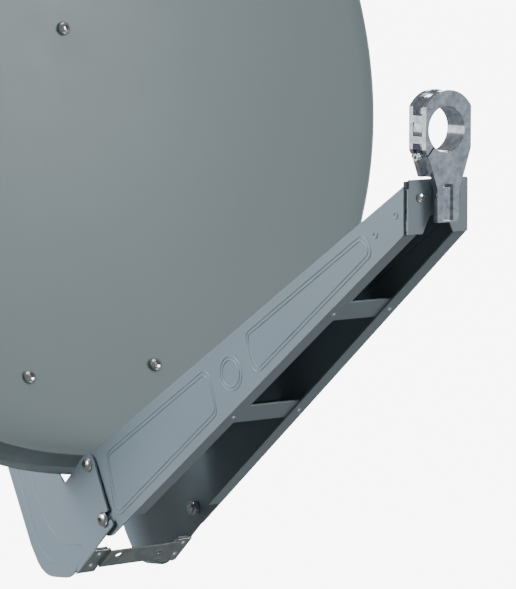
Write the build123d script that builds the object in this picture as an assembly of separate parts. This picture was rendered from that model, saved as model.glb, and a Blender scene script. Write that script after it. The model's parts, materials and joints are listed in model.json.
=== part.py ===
"""Offset satellite dish with folding feed arm, tilting rear carrier and mast clamp.

Frame: origin at the centre of the mast clamp, on the mast's axis. +Z is up along the mast,
-Y is the way the dish looks, +X is to the right of somebody who looks along +Y.
Design places below are written from the arm's fold pivot, as (y, z), and every finished
piece is moved by HOME at the end. All lengths are millimetres.
"""
from build123d import *
from math import atan2, cos, degrees, radians, sin, sqrt, tan
import os

# ---- place of the mast axis, from the fold pivot ---------------------------------------
MAST_BACK = 300.0        # mast axis behind the fold pivot
MAST_UP = 150.0          # middle of the clamp above the fold pivot
HOME = Location((0, -MAST_BACK, -MAST_UP))

# ---- reflector: a round piece cut from a paraboloid, looking up at BEAM_UP --------------
FOCAL = 555.0            # focal length
BEAM_UP = 36.9           # elevation of the beam, degrees
APERTURE_R = 405.0       # radius of the round aperture, seen along the beam
APERTURE_H = 391.0       # middle of the aperture above the paraboloid's axis
FOCUS = (-409.0, 347.0)  # focal point
SHEET = 2.0              # reflector sheet, along the beam
RIM_OUT = 15.8           # rolled edge outside the crease
RIM_BACK = 24.3          # rolled edge behind the crease
SCREWS = ((75.2, 75.7), (66.8, 430.2))   # lower and upper pair: to each side, along the aperture

# ---- feed arm ---------------------------------------------------------------------------
ARM_SHEET = 2.0
ARM_TIP_Y = -449.6       # square front end of the side plates
ARM_TIP_Z = (256.5, 299.1)
ARM_HALF_REAR = 55.1     # half width at the pivot, outside
ARM_HALF_TIP = 35.5      # half width at the tip, outside
ARM_EAR_R = 8.9          # end round the fold pivot
LOCK = (-26.4, -49.6)    # lock bolt
ARM_LOCK_R = 16.7        # end round the lock bolt
FLANGE = 15.0            # inward lower flange
TAPER = (ARM_HALF_REAR - ARM_HALF_TIP) / -ARM_TIP_Y
TAPER_DEG = degrees(atan2(ARM_HALF_REAR - ARM_HALF_TIP, -ARM_TIP_Y))

# ---- rear carrier cheeks ----------------------------------------------------------------
CHEEK_IN = 56.0          # inner face of a cheek from the middle
CHEEK_T = 2.0
CHEEK_OUT = CHEEK_IN + CHEEK_T
EAR_R = 10.5
SLOT_HALF = 4.6          # half width of the lock bolt's open slot

# ---- elevation and mast clamp -----------------------------------------------------------
TILT = (205.0, 150.0)    # elevation pivot
ARC_R = 65.0             # radius of the elevation slots
ARC_MID = 80.0           # direction of the lock bolts from the pivot, degrees from +Y
ARC_HALF = 20.0          # elevation travel each way, degrees
BRACKET_OUT = 55.6       # outer face of the bracket's side plates
BRACKET_T = 4.0
WEB_Y = 252.0            # front face of the bracket's web
MAST_R = 30.0
CLAMP_HALF = 50.0        # half height of the clamp
JAW_Z = 38.0             # jaws above and below the middle
BOLT_X = 43.0            # clamp bolts from the middle

# ---- feed holder ------------------------------------------------------------------------
BORE = (-464.3, 347.1)   # front end of the feed bore's axis
BORE_R = 20.0
HOLDER_D = 23.0          # holder depth, front to back
HOLDER_X = 2.2           # middle of the holder's foot and ring
TIP_FACE_Y = -453.5      # front face of the tip bracket

# ---- fasteners --------------------------------------------------------------------------
M8 = 4.0
M6 = 3.0
RUN = 0.06               # running clearance, on the radius


# =========================== helpers =====================================================
def rounded(corners):
    """Closed face on (u, v, radius) corners; radius 0 leaves a corner sharp."""
    pts = [Vector(u, v) for u, v, _ in corners]
    count = len(corners)
    ends = []
    for i in range(count):
        here = pts[i]
        a = (pts[i - 1] - here).normalized()
        b = (pts[(i + 1) % count] - here).normalized()
        r = corners[i][2]
        if r == 0:
            ends.append((here, None, here))
            continue
        half = radians(a.get_angle(b)) / 2
        reach = r / tan(half)
        mid = here + (a + b).normalized() * (r / sin(half) - r)
        ends.append((here + a * reach, mid, here + b * reach))
    edges = []
    for i in range(count):
        start, mid, stop = ends[i]
        if mid is not None:
            edges.append(ThreePointArc(start, mid, stop))
        following = ends[(i + 1) % count][0]
        if (following - stop).length > 1e-6:
            edges.append(Line(stop, following))
    return make_face(edges)


def across(face, x0, x1):
    """Push a face drawn in (y, z) along X, from x0 to x1."""
    return extrude(Plane.YZ.offset(x0) * face, amount=x1 - x0)


def rod_x(centre, r, x0, x1):
    """Round bar along X at a (y, z) centre."""
    return across(Pos(*centre) * Circle(r), x0, x1)


def box(x0, x1, y0, y1, z0, z1):
    """Box between its limits."""
    size = (x1 - x0, y1 - y0, z1 - z0)
    return Pos((x0 + x1) / 2, (y0 + y1) / 2, (z0 + z1) / 2) * Box(*size)


def strip(a, b, thick, grow=0.0):
    """Face of a straight strip from a to b in (y, z), thick to the left of the way a to b."""
    way = (Vector(*b) - Vector(*a)).normalized()
    side = Vector(-way.Y, way.X) * thick
    p = Vector(*a) - way * grow
    q = Vector(*b) + way * grow
    return make_face(Polyline(p, q, q + side, p + side, close=True))


def mirrored(shape):
    """The same piece on the other side of the middle."""
    return mirror(shape, about=Plane.YZ)


def dome(r, height):
    """Round head standing on Z = 0, flat below and crowned above, with a socket."""
    edge = height * 0.3
    ball = (r * r + (height - edge) ** 2) / (2 * (height - edge))
    cap = Pos(0, 0, height - ball) * Sphere(ball)
    body = Pos(0, 0, height / 2) * Cylinder(r, height) & cap
    socket = extrude(RegularPolygon(r * 0.36, 6), amount=height)
    return body - Pos(0, 0, height * 0.5) * socket


def hex_nut(flats, hole, height):
    """Hexagon nut standing on Z = 0."""
    body = extrude(RegularPolygon(flats / 2, 6, major_radius=False), amount=height)
    return body - Pos(0, 0, height / 2) * Cylinder(hole, height + 2)


def ring(r_out, r_in, height):
    """Washer or bush standing on Z = 0."""
    return Pos(0, 0, height / 2) * (Cylinder(r_out, height) - Cylinder(r_in, height + 2))


def rod(r, height):
    """Round bar standing on Z = 0."""
    return Pos(0, 0, height / 2) * Cylinder(r, height)


def facing_left(centre, x):
    """Plane at a (y, z) centre whose Z looks along -X."""
    return Plane(origin=(x, centre[0], centre[1]), x_dir=(0, 1, 0), z_dir=(-1, 0, 0))


def both(shape):
    """A piece and its twin on the other side, as separate solids."""
    return [shape, mirrored(shape)]


def save(name, shapes):
    """Move a node home and write it."""
    solids = []
    for shape in shapes if isinstance(shapes, list) else [shapes]:
        solids.extend(shape.solids())
    moved = [HOME * solid for solid in solids]
    body = moved[0] if len(moved) == 1 else Compound(children=moved)
    export_step(body, f"parts/{name}.step")
    print(f"{name}: {len(solids)} solids")


# =========================== reflector ===================================================
BEAM = Vector(0, -cos(radians(BEAM_UP)), sin(radians(BEAM_UP)))
ALONG = Vector(0, sin(radians(BEAM_UP)), cos(radians(BEAM_UP)))
VERTEX = Vector(0, *FOCUS) - BEAM * FOCAL
DISH = Plane(origin=VERTEX, x_dir=(1, 0, 0), z_dir=BEAM)
RIM_LEAN = degrees(atan2(APERTURE_H, 2 * FOCAL))   # rim plane against the aperture plane


def dish_point(x, h):
    """Point of the reflecting face, x to the side and h along the aperture."""
    return VERTEX + Vector(x, 0, 0) + ALONG * h + BEAM * ((x * x + h * h) / (4 * FOCAL))


def dish_plane(x, h):
    """Plane on the reflecting face, Z forwards out of it, X kept level."""
    out = (BEAM - ALONG * (h / (2 * FOCAL))).normalized()
    return Plane(origin=dish_point(x, h), x_dir=(1, 0, 0), z_dir=out)


def reflector():
    """Bowl cut from the paraboloid, with the turned-back and rolled rim."""
    reach = APERTURE_H + APERTURE_R + 60
    rise = reach * reach / (4 * FOCAL)
    face = Bezier((0, 0), (reach / 2, 0), (reach, rise))
    back = Bezier((0, -SHEET), (reach / 2, -SHEET), (reach, rise - SHEET))
    side = Line((reach, rise), (reach, rise - SHEET))
    axis = Line((0, -SHEET), (0, 0))
    section = Plane.XZ * make_face([face, side, back, axis])
    shell = revolve(section, axis=Axis.Z)
    aperture = Pos(0, APERTURE_H, 150) * Cylinder(APERTURE_R, 500)
    bowl = DISH.location * (shell & aperture)
    for side, h in SCREWS:
        for x in (-side, side):
            bowl -= dish_plane(x, h).location * Cylinder(M6 + 0.3, 20)
    return bowl + rolled_rim()


def rim_plane():
    """Plane of the crease, Z forwards, Y up along the rim's long axis."""
    low = dish_point(0, APERTURE_H - APERTURE_R)
    high = dish_point(0, APERTURE_H + APERTURE_R)
    up = (high - low).normalized()
    out = Vector(1, 0, 0).cross(up)
    return Plane(origin=(low + high) / 2, x_dir=(1, 0, 0), z_dir=out), (high - low).length / 2


def rolled_rim():
    """Cove behind the crease, flat lip and rolled edge, swept round the ellipse."""
    plane, long_half = rim_plane()
    path = plane * Ellipse(APERTURE_R, long_half).edge()
    bead = 2.6
    lip = -RIM_BACK + bead
    outer_cove = ThreePointArc((0.9, -0.1), (3.6, -13.0), (8.8, lip))
    lip_face = Line((8.8, lip), (RIM_OUT - bead, lip))
    roll = ThreePointArc((RIM_OUT - bead, lip), (RIM_OUT, lip - bead), (RIM_OUT - bead, lip - 2 * bead))
    roll_in = Line((RIM_OUT - bead, lip - 2 * bead), (RIM_OUT - bead - 1.6, lip - 1.8))
    lip_back = Line((RIM_OUT - bead - 1.6, lip - 1.8), (7.6, lip - 1.8))
    inner_cove = ThreePointArc((7.6, lip - 1.8), (1.9, -13.6), (-1.0, -2.0))
    start = Line((-1.0, -2.0), (-1.0, -0.5))
    crown = Line((-1.0, -0.5), (0.9, -0.1))
    profile = make_face([outer_cove, lip_face, roll, roll_in, lip_back, inner_cove, start, crown])
    right = plane.origin + Vector(APERTURE_R, 0, 0)
    section_plane = Plane(origin=right, x_dir=(1, 0, 0), z_dir=Vector(1, 0, 0).cross(plane.z_dir))
    return sweep(section_plane * profile, path=path)


def at_screws(make, z):
    """A copy of a fastener at each reflector screw, standing z in front of the face."""
    copies = []
    for side, h in SCREWS:
        for x in (-side, side):
            copies.append(dish_plane(x, h).location * Pos(0, 0, z) * make)
    return copies


# =========================== rear carrier ================================================
SPACER = 9.0             # bush between the reflector and a cheek's lug
LUG_T = 3.0
LUG_BACK = -SHEET - 0.4 - SPACER   # front of a lug, along the screw
LOW_FRONT = (-42.1, -52.3)         # top of the cheek's lower front edge
LOW_BACK = (22.6, -111.2)          # bottom of that edge
HEM = 16.0               # inward hem along the lower front edge
HEM_FROM = 0.50          # where the hem starts, as a share of that edge
DISH_GAP = 5.0           # cheek's front edge behind the reflector


def in_front_of_cheek():
    """Side view of the space that the reflector needs, beside a cheek."""
    curve = []
    for step in range(6):
        h = 12 + step * (APERTURE_H + 80) / 5
        plane = dish_plane(CHEEK_OUT, h)
        spot = plane.origin - plane.z_dir * (SHEET + DISH_GAP)
        curve.append((spot.Y, spot.Z))
    back = Spline(*curve)
    far = Polyline(curve[-1], (-100, curve[-1][1]), (-100, curve[0][1]), curve[0])
    return make_face([back, *far.edges()])


def cheek_outline():
    """Side view of a cheek, without its ear and lock slot."""
    raw = rounded([
        (-9.0, 6.0, 0),
        (9.0, 6.5, 0),
        (41.5, -23.8, 3),
        (52.0, -15.0, 3),
        (46.0, 60.0, 0),
        (100.0, 425.0, 0),
        (306.0, 425.0, 24),
        (290.0, 300.0, 60),
        (268.0, 199.0, 60),
        (102.1, -93.7, 22),
        (80.0, -122.0, 34),
        (24.0, -115.5, 26),
        (*LOW_BACK, 0),
        (*LOW_FRONT, 3),
        (-37.9, -47.1, 0),
        (-31.2, -37.4, 0),
    ])
    return raw - in_front_of_cheek()


def arc_slot(centre, radius, half_width, start, stop):
    """Curved slot face about a (y, z) centre, between two directions in degrees."""
    def place(r, angle):
        turn = radians(angle)
        return Vector(centre[0] + r * cos(turn), centre[1] + r * sin(turn))
    middle = (start + stop) / 2
    inner, outer = radius - half_width, radius + half_width
    edges = [
        ThreePointArc(place(outer, start), place(outer, middle), place(outer, stop)),
        Line(place(outer, stop), place(inner, stop)),
        ThreePointArc(place(inner, stop), place(inner, middle), place(inner, start)),
        Line(place(inner, start), place(outer, start)),
    ]
    slot = make_face(edges)
    for angle in (start, stop):
        end = place(radius, angle)
        slot += Pos(end.X, end.Y) * Circle(half_width)
    return slot


def lock_direction():
    """Radius and direction of the lock bolt from the fold pivot."""
    return sqrt(LOCK[0] ** 2 + LOCK[1] ** 2), degrees(atan2(LOCK[1], LOCK[0]))


def tilt_point(angle, radius=ARC_R):
    """Point round the elevation pivot, as (y, z)."""
    turn = radians(angle)
    return TILT[0] + radius * cos(turn), TILT[1] + radius * sin(turn)


def hem_ends():
    """Both ends of the hem along the lower front edge."""
    span = (LOW_BACK[0] - LOW_FRONT[0], LOW_BACK[1] - LOW_FRONT[1])
    first = (LOW_FRONT[0] + span[0] * HEM_FROM, LOW_FRONT[1] + span[1] * HEM_FROM)
    last = (LOW_FRONT[0] + span[0] * 0.97, LOW_FRONT[1] + span[1] * 0.97)
    return first, last


def cheek():
    """Left cheek: plate, ear, hem, lugs for the reflector, slots and bores."""
    face = cheek_outline() + Circle(EAR_R)
    radius, angle = lock_direction()
    face -= arc_slot((0, 0), radius, SLOT_HALF, angle - 40, angle)
    face -= Circle(M8 + RUN)
    face -= Pos(*TILT) * Circle(M8 + RUN)
    face -= arc_slot(TILT, ARC_R, M8 + 0.5, ARC_MID - ARC_HALF - 1, ARC_MID + ARC_HALF + 1)
    plate = across(face, -CHEEK_OUT, -CHEEK_IN)
    first, last = hem_ends()
    plate += across(strip(first, last, CHEEK_T), -CHEEK_OUT, -CHEEK_OUT + HEM)
    for side, h in SCREWS:
        wide = side + 14 - CHEEK_IN
        lug = Pos(wide / 2 - 14, 0, LUG_BACK - LUG_T / 2) * Box(wide, 34, LUG_T)
        lug -= Cylinder(M6 + 0.3, 60)
        plate += dish_plane(-side, h).location * lug
    return plate


def cross_frame():
    """Plane on the outer face of the hems, X to the right, Y up along the edge."""
    first, last = hem_ends()
    up = Vector(0, first[0] - last[0], first[1] - last[1]).normalized()
    origin = Vector(0, *first)
    return Plane(origin=origin, x_dir=(1, 0, 0), z_dir=Vector(1, 0, 0).cross(up))


CROSS_DROP = 40.0        # length of the cross plate's end tabs along the hem
CROSS_WEB = 28.0         # height of the web between them
TAB = 19.0               # width of an end tab
RIVETS_DOWN = (7.0, 27.0)


def bottom_cross_plate():
    """Plate under both hems, with a raised web and two holes."""
    t = 1.6
    wide = CHEEK_OUT
    tabs = box(-wide, -wide + TAB, -CROSS_DROP, 0, 0, t)
    tabs = tabs + mirrored(tabs)
    web = box(-wide + TAB - t, wide - TAB + t, -CROSS_WEB, 0, 3.0, 3.0 + t)
    legs = box(-wide + TAB - t, -wide + TAB, -CROSS_WEB, 0, 0, 3.0 + t)
    plate = tabs + web + legs + mirrored(legs)
    plate -= Pos(-27, -9, 3) * Cylinder(3.4, 12)
    plate -= Pos(24, -14, 3) * Cylinder(2.2, 12)
    return cross_frame().location * plate


def cross_rivets():
    """Rivets through the cross plate's tabs."""
    rivets = []
    for x in (-CHEEK_OUT + 8, CHEEK_OUT - 8):
        for down in RIVETS_DOWN:
            head = Pos(x, -down, 1.6) * dome_plain(3.4, 1.6)
            rivets.append(cross_frame().location * head)
    return rivets


def dome_plain(r, height):
    """Crowned rivet head standing on Z = 0."""
    ball = (r * r + height * height) / (2 * height)
    return Pos(0, 0, height / 2) * Cylinder(r, height) & Pos(0, 0, height - ball) * Sphere(ball)


def upper_cross_plate():
    """Channel between the cheeks' tops, behind the reflector."""
    t = 2.0
    wide = CHEEK_IN
    z = 405.0
    face = box(-wide, wide, 262, 262 + t, z - 22, z + 14)
    end = box(-wide, -wide + t, 262, 288, z - 22, z + 14)
    return face + end + mirrored(end)


def upper_rivets():
    """Rivets that hold the upper cross plate to the cheeks."""
    rivets = []
    for z in (391.0, 411.0):
        head = facing_left((275.0, z), -CHEEK_OUT).location * dome_plain(3.4, 1.6)
        rivets.extend(both(head))
    return rivets


# =========================== feed arm ====================================================
TOP_TIP = (ARM_TIP_Y, ARM_TIP_Z[1])
LOW_TIP = (ARM_TIP_Y, ARM_TIP_Z[0])


def left_slab(inside, depth):
    """Tapered plate of space inside the left side plate, from inside to inside + depth."""
    slab = box(inside, inside + depth, -700, 200, -400, 700)
    return Pos(-ARM_HALF_REAR, 0, 0) * Rot(0, 0, TAPER_DEG) * slab


def lower_line():
    """Lower edge of the arm, from its tip to where it meets the lock end, as (y, z)."""
    way = Vector(LOCK[0] - LOW_TIP[0], LOCK[1] - LOW_TIP[1])
    reach = way.length
    swing = degrees(atan2(way.Y, way.X)) - degrees(atan2(ARM_LOCK_R, sqrt(reach ** 2 - ARM_LOCK_R ** 2)))
    run = sqrt(reach ** 2 - ARM_LOCK_R ** 2)
    end = (LOW_TIP[0] + run * cos(radians(swing)), LOW_TIP[1] + run * sin(radians(swing)))
    return LOW_TIP, end


def upper_line():
    """Upper edge of the arm, from its tip to where it meets the ear, as (y, z)."""
    reach = sqrt(TOP_TIP[0] ** 2 + TOP_TIP[1] ** 2)
    swing = degrees(atan2(-TOP_TIP[1], -TOP_TIP[0])) + degrees(atan2(ARM_EAR_R, reach))
    run = sqrt(reach ** 2 - ARM_EAR_R ** 2)
    end = (TOP_TIP[0] + run * cos(radians(swing)), TOP_TIP[1] + run * sin(radians(swing)))
    return TOP_TIP, end


def rear_line():
    """Rear edge of the arm, from the ear to the lock end, both tangent, as (y, z)."""
    length, angle = lock_direction()
    lean = degrees(atan2(ARM_LOCK_R - ARM_EAR_R, length))
    out = radians(angle + 90 + lean)
    side = (cos(out), sin(out))
    start = (side[0] * ARM_EAR_R, side[1] * ARM_EAR_R)
    return start, (LOCK[0] + side[0] * ARM_LOCK_R, LOCK[1] + side[1] * ARM_LOCK_R)


def arm_face():
    """Side view of the arm's side plate."""
    start, lock_end = rear_line()
    corners = [TOP_TIP, upper_line()[1], start, lock_end, lower_line()[1], LOW_TIP]
    face = make_face(Polyline(*corners, close=True))
    return face + Circle(ARM_EAR_R) + Pos(*LOCK) * Circle(ARM_LOCK_R)


FLANGE_REAR = 0.93       # rear end of the lower flange, as a share of the lower edge


def arm_side():
    """Left side plate with its inward lower flange."""
    face = arm_face() - Circle(M8 + RUN) - Pos(*LOCK) * Circle(M8 + 0.2)
    plate = across(face, -70, 0) & left_slab(0, ARM_SHEET)
    tip, rear = lower_line()
    end = (tip[0] + (rear[0] - tip[0]) * FLANGE_REAR, tip[1] + (rear[1] - tip[1]) * FLANGE_REAR)
    flange = across(strip(tip, end, ARM_SHEET), -70, 0) & left_slab(0, FLANGE)
    return plate + flange


WEB_T = 1.6
WEB_LIP = 13.0           # web's side lips, against the side plates


def arm_web():
    """Closing web along the arm's back, with side lips and a lengthwise rib."""
    tip, rear = upper_line()
    way = Vector(rear[0] - tip[0], rear[1] - tip[1])
    start = (tip[0] + way.X * 0.005, tip[1] + way.Y * 0.005 - 1.0)
    end = (tip[0] + way.X * 0.93, tip[1] + way.Y * 0.93 - 1.0)
    between = ARM_SHEET + 0.05
    ahead = box(-70, 70, ARM_TIP_Y + 0.3, 100, -200, 400)
    room = left_slab(between, 200) & mirrored(left_slab(between, 200)) & ahead
    web = across(strip(end, start, WEB_T), -70, 70) & room
    lip = across(strip(end, start, WEB_LIP), -70, 70) & left_slab(between, WEB_T) & ahead
    rib = across(strip(end, start, 5.0), -5, 5) & room
    return web + lip + mirrored(lip) + rib


BRACES = ((0.245, "front"), (0.585, "rear"))   # places along the lower edge from the tip
BRACE_WIDE = 15.0        # brace's tab along the flange


def brace(share):
    """Bent cross plate on both flanges, its rear half turned up into the channel."""
    tip, rear = lower_line()
    way = Vector(rear[0] - tip[0], rear[1] - tip[1])
    slope = degrees(atan2(way.Y, way.X))
    middle = (tip[0] + way.X * share, tip[1] + way.Y * share)
    base = ARM_SHEET + 0.05
    flat = Pos(*middle) * Rot(0, 0, slope) * Pos(0, base + 0.8) * Rectangle(BRACE_WIDE * 2, 1.6)
    hinge = Pos(*middle) * Rot(0, 0, slope) * Pos(BRACE_WIDE, base)
    leaf = hinge * Rot(0, 0, 62) * Pos(14, 0.8) * Rectangle(28, 1.6)
    inside = ARM_SHEET + 0.5
    room = left_slab(inside, 200) & mirrored(left_slab(inside, 200))
    return (across(flat, -70, 70) + across(leaf, -70, 70)) & room


def arm_rivets():
    """Rivet heads under the flanges at each brace, and clinches near the tip."""
    tip, rear = lower_line()
    way = Vector(rear[0] - tip[0], rear[1] - tip[1])
    up = way.normalized()
    down = Vector(0, up.Y, -up.X)
    heads = []
    for share, _ in BRACES:
        y, z = tip[0] + way.X * share, tip[1] + way.Y * share
        x = -(ARM_HALF_REAR + TAPER * y) + FLANGE * 0.55
        spot = Plane(origin=(x, y, z), x_dir=(1, 0, 0), z_dir=down)
        heads.extend(both(spot.location * dome_plain(2.6, 1.3)))
    return heads


# =========================== fold joint bolts ============================================
HEAD_H = 4.6


def bolt_left(centre, seat, inner, r_head):
    """Domed bolt along X: head outside seat, shank to inner."""
    head = facing_left(centre, seat).location * dome(r_head, HEAD_H)
    return head + rod_x(centre, M8, seat, inner)


def nut_left(centre, outer):
    """Hexagon nut on the inside of the left plate, its outer face at outer."""
    plane = Plane(origin=(outer, centre[0], centre[1]), x_dir=(0, 1, 0), z_dir=(1, 0, 0))
    return plane.location * hex_nut(13.0, M8, 6.5)


def washer_left(centre, outer, thick, r_out=8.0):
    """Washer inside outer on the left."""
    plane = Plane(origin=(outer, centre[0], centre[1]), x_dir=(0, 1, 0), z_dir=(1, 0, 0))
    return plane.location * ring(r_out, M8, thick)


def plate_in(y):
    """X of the left side plate's inner face at a given y."""
    return -(ARM_HALF_REAR + TAPER * y) + ARM_SHEET


# =========================== tip and feed holder =========================================
def tip_bracket():
    """Sheet bracket round the arm's front end, with an arch for the cable."""
    t = 2.0
    half = ARM_HALF_TIP - ARM_SHEET - 0.15
    low, high = 257.0, 304.2
    front = Plane.XZ.offset(-TIP_FACE_Y) * rounded([
        (-half, low, 0), (-17, low, 2), (-9, 273, 4), (9, 273, 4),
        (17, low, 2), (half, low, 0), (half, high, 2), (-half, high, 2)])
    face = extrude(front, amount=-t)
    wing = box(-half, -half + t, TIP_FACE_Y, TIP_FACE_Y + 13, low + 3, 269)
    shape = face + wing + mirrored(wing)
    shape -= Pos(HOLDER_X, TIP_FACE_Y, 283) * Rot(90, 0, 0) * Cylinder(2.6, 20)
    shape -= Pos(-20, TIP_FACE_Y, 288.6) * Rot(90, 0, 0) * Cylinder(2.2, 20)
    shape -= Pos(20, TIP_FACE_Y, 288.6) * Rot(90, 0, 0) * Cylinder(2.2, 20)
    return shape


def bracket_screws():
    """Two small screws in the tip bracket's face, beside the holder's foot."""
    screws = []
    for x in (-20, 20):
        spot = Plane(origin=(x, TIP_FACE_Y, 288.6), x_dir=(1, 0, 0), z_dir=(0, -1, 0))
        screws.append(spot.location * (dome(4.2, 2.4) + Pos(0, 0, -3.5) * Cylinder(2.2, 7)))
    return screws


def holder_face():
    """Front view of the feed holder, as (x, z)."""
    x = HOLDER_X
    body = rounded([
        (x - 11.9, 267, 0.8), (x + 11.9, 267, 0.8), (x + 11.9, 294.5, 3), (x + 18.2, 310, 8),
        (x + 25.2, 330.5, 6), (x + 25.2, 352, 0), (x - 25.2, 352, 0), (x - 25.2, 329.5, 3),
        (x - 20.5, 320, 2), (x - 11.9, 296, 3)])
    cap = Pos(x, 351.0) * Circle(29.6)
    keep = Pos(x, 351.0 + 20) * Rectangle(50.4, 60)
    return body + (cap & keep)


def feed_holder():
    """Cast holder: two outer walls joined by a web round a split 40 mm bore, on a foot."""
    front_y, back_y = BORE[0], BORE[0] + HOLDER_D
    wall = 5.2
    outline = holder_face()
    foot_cut = box(-60, 60, TIP_FACE_Y - 0.0, back_y + 5, 250, 305.5)
    whole = extrude(Plane.XZ.offset(-front_y) * outline, amount=-HOLDER_D)
    pocket_face = outline - offset(outline, amount=-4.4)
    hoop = Pos(0, BORE[1]) * Circle(BORE_R + 2.6)
    pocket_face = pocket_face - hoop
    middle = extrude(Plane.XZ.offset(-front_y - wall) * pocket_face, amount=-(HOLDER_D - 2 * wall))
    for z, keep in ((338.0, 6.0), (356.0, 6.0), (322.0, 4.0)):
        middle -= box(-70, 70, front_y - 1, back_y + 1, z - keep / 2, z + keep / 2)
    shape = whole - middle - foot_cut
    shape -= Pos(0, (front_y + back_y) / 2, BORE[1]) * Rot(90, 0, 0) * Cylinder(BORE_R, HOLDER_D + 2)
    split = Pos(-19.2, (front_y + back_y) / 2, 326.4) * Rot(0, 42, 0) * Box(1.4, HOLDER_D + 2, 16)
    shape -= split
    x = HOLDER_X
    shape -= box(x - 5.6, x + 5.6, front_y - 1, front_y + 2.2, 268.5, 299)
    shape -= box(x - 4.6, x + 4.6, front_y - 1, front_y + 6, 297, 300)
    bore = Pos(CLAMP_SCREW[0], (front_y + back_y) / 2, CLAMP_SCREW[1]) * Rot(0, 90, 0)
    shape -= bore * Cylinder(2.0, 40)
    shape -= Pos(x - 25.2, (front_y + back_y) / 2, CLAMP_SCREW[1]) * Box(2.4, 8.4, 8.4)
    return shape


def holder_screw():
    """Screw that holds the foot to the tip bracket, from behind."""
    spot = Plane(origin=(HOLDER_X, TIP_FACE_Y + 2.0, 283), x_dir=(1, 0, 0), z_dir=(0, 1, 0))
    return spot.location * (dome(4.4, 2.6) + Pos(0, 0, -1.0) * Cylinder(2.6, 2.0))


def edge_plug():
    """Small soft plug on the top corner between the left side plate and the tip bracket."""
    outer = -ARM_HALF_TIP - 0.6
    plug = box(outer, outer + 2.6, TIP_FACE_Y - 1.4, ARM_TIP_Y - 0.1, 297.0, 303.0)
    return fillet(plug.edges(), 0.6)


CLAMP_SCREW = (-18.0, 323.2)   # clamp screw's place in the holder's ear, as (x, z)


def clamp_screw():
    """Socket screw across the split of the feed bore, its head outside the ear."""
    middle = BORE[0] + HOLDER_D / 2
    head_x = HOLDER_X - 25.2 + 1.2
    spot = Plane(origin=(head_x, middle, CLAMP_SCREW[1]), x_dir=(0, 1, 0), z_dir=(-1, 0, 0))
    socket = extrude(RegularPolygon(1.7, 6), amount=4)
    head = rod(3.4, 3.6) - Pos(0, 0, 1.6) * socket
    return spot.location * (head + Pos(0, 0, -9.0) * Cylinder(2.0, 18))


# =========================== mast bracket and clamp ======================================
MAST = (MAST_BACK, MAST_UP)
SADDLE_T = 5.0


def bracket_side():
    """Left side plate of the mast bracket, with the tilt bore and the lock bolt's hole."""
    lock = tilt_point(ARC_MID)
    face = rounded([
        (TILT[0] - 20, TILT[1] - 22, 18),
        (lock[0] - 18, lock[1] + 17, 14),
        (lock[0] + 20, lock[1] + 17, 14),
        (WEB_Y + BRACKET_T, MAST[1] + CLAMP_HALF, 0),
        (WEB_Y + BRACKET_T, MAST[1] - CLAMP_HALF, 0),
        (WEB_Y - 18, MAST[1] - CLAMP_HALF, 14),
    ])
    face -= Pos(*TILT) * Circle(M8)
    face -= Pos(*lock) * Circle(M8)
    return across(face, -BRACKET_OUT, -BRACKET_OUT + BRACKET_T)


def saddle():
    """Half-round shelf that holds the front of the mast, drawn in (x, y)."""
    back = MAST[0] - 8
    front = WEB_Y + BRACKET_T - 1
    shelf = rounded([(-50, front, 0), (50, front, 0), (38, back, 4), (-38, back, 4)])
    return shelf - Pos(0, MAST[0]) * Circle(MAST_R)


def mast_bracket():
    """Channel bracket: two side plates, web with bolt holes, two saddle shelves."""
    low, high = MAST[1] - CLAMP_HALF, MAST[1] + CLAMP_HALF
    side = bracket_side()
    web = box(-BRACKET_OUT, BRACKET_OUT, WEB_Y, WEB_Y + BRACKET_T, low, high)
    shape = side + mirrored(side) + web
    for z in (low, high - SADDLE_T):
        shape += extrude(Plane.XY.offset(z) * saddle(), amount=SADDLE_T)
    for x in (-BOLT_X, BOLT_X):
        for z in (MAST[1] - JAW_Z, MAST[1] + JAW_Z):
            shape -= Pos(x, WEB_Y, z) * Rot(90, 0, 0) * Cylinder(M8, 20)
    return shape


JAW_HALF = 11.0          # half height of a jaw
JAW_BACK = 341.0         # rear face of a jaw
JAW_T = 3.5


def clamp_jaw(z):
    """Pressed jaw: two half-round plates joined by a rear wall with bolt holes."""
    plan = rounded([
        (-38, MAST[0] + 8, 3), (38, MAST[0] + 8, 3), (53, MAST[0] + 26, 4),
        (53, JAW_BACK, 0), (-53, JAW_BACK, 0), (-53, MAST[0] + 26, 4)])
    plan -= Pos(0, MAST[0]) * Circle(MAST_R)
    shape = box(-53, 53, JAW_BACK - JAW_T, JAW_BACK, z - JAW_HALF, z + JAW_HALF)
    for low in (z - JAW_HALF, z + JAW_HALF - JAW_T):
        shape += extrude(Plane.XY.offset(low) * plan, amount=JAW_T)
    for x in (-BOLT_X, BOLT_X):
        shape -= Pos(x, JAW_BACK, z) * Rot(90, 0, 0) * Cylinder(M8 + 0.4, 40)
    return shape


def facing_back(x, y, z):
    """Plane whose Z looks along +Y."""
    return Plane(origin=(x, y, z), x_dir=(1, 0, 0), z_dir=(0, 1, 0))


def clamp_bolts():
    """Carriage bolts through the web, heads inside the bracket."""
    bolts = []
    for x in (-BOLT_X, BOLT_X):
        for z in (MAST[1] - JAW_Z, MAST[1] + JAW_Z):
            head = Plane(origin=(x, WEB_Y, z), x_dir=(1, 0, 0), z_dir=(0, -1, 0))
            shape = head.location * dome_plain(8.0, 4.4)
            shape += facing_back(x, WEB_Y, z).location * rod(M8, 122)
            bolts.append(shape)
    return bolts


WASHER_T = 1.6


def jaw_fasteners(z, make, stand):
    """A nut or washer behind a jaw on each of its bolts."""
    return [facing_back(x, JAW_BACK + stand, z).location * make for x in (-BOLT_X, BOLT_X)]


def tilt_bolts():
    """Elevation pivot bolts, heads outside the cheeks."""
    return both(bolt_left(TILT, -CHEEK_OUT - 0.3 - WASHER_T, -BRACKET_OUT + BRACKET_T + 8.5, 7.0))


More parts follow.
